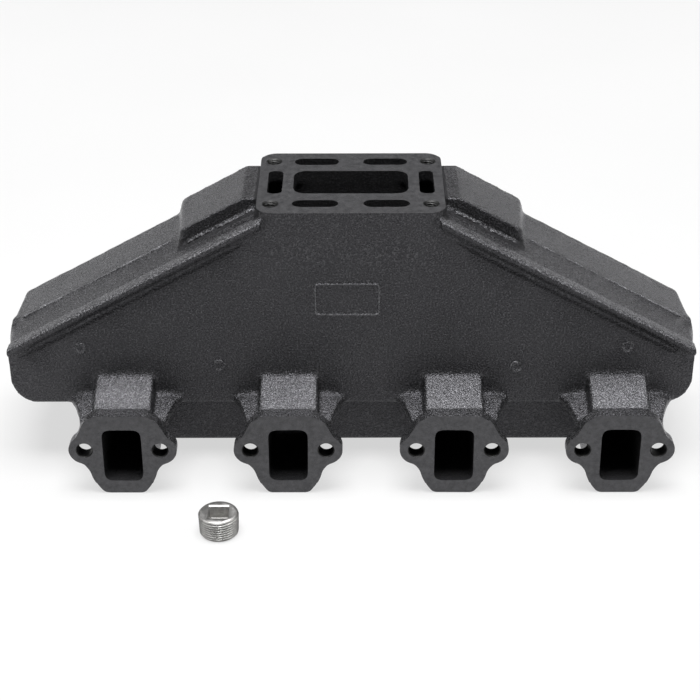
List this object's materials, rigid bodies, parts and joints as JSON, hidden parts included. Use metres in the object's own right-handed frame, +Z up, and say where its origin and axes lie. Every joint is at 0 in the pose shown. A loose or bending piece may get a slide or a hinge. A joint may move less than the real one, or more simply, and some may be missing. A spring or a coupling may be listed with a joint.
{
  "type": "exhaust manifold",
  "caption": "Water-jacketed cast-iron marine exhaust manifold with a central riser deck, flanged ports in a row and tapped ends, and a loose square-socket pipe plug.",
  "frame": {"origin": "middle of the footprint on the floor, plug included: X on the riser deck's centre, Y on the front wall of the water jacket", "axes": "+X along the row of ports, +Y away from the cylinder head, +Z up to the riser deck"},
  "size_m": [0.4746, 0.1919, 0.192],
  "materials": {
    "casting": "dark, as cast, fine sand grain; sealing faces machined",
    "chaplet_steel": "dark, fused into the casting",
    "plug_steel": "bright, machined"
  },
  "bodies": {
    "manifold": {"riser_deck": "casting", "jacket_front_wall": "casting", "jacket_back_wall": "casting", "jacket_left_end": "casting", "jacket_right_end": "casting", "left_water_passage": "casting", "right_water_passage": "casting", "jacket_floor": "casting", "gas_plenum": "casting", "exhaust_log": "casting", "port_flange_1": "casting", "port_flange_2": "casting", "port_flange_3": "casting", "port_flange_4": "casting", "port_runner_1": "casting", "port_runner_2": "casting", "port_runner_3": "casting", "port_runner_4": "casting", "front_chaplets": "chaplet_steel", "back_chaplets": "chaplet_steel"},
    "plug": {"pipe_plug": "plug_steel"}
  },
  "joints": [
    {"name": "plug_lift", "type": "slide", "parent": "manifold", "child": "plug", "axis": [0, 0, 1], "range_m": [0, 0.1]}
  ]
}
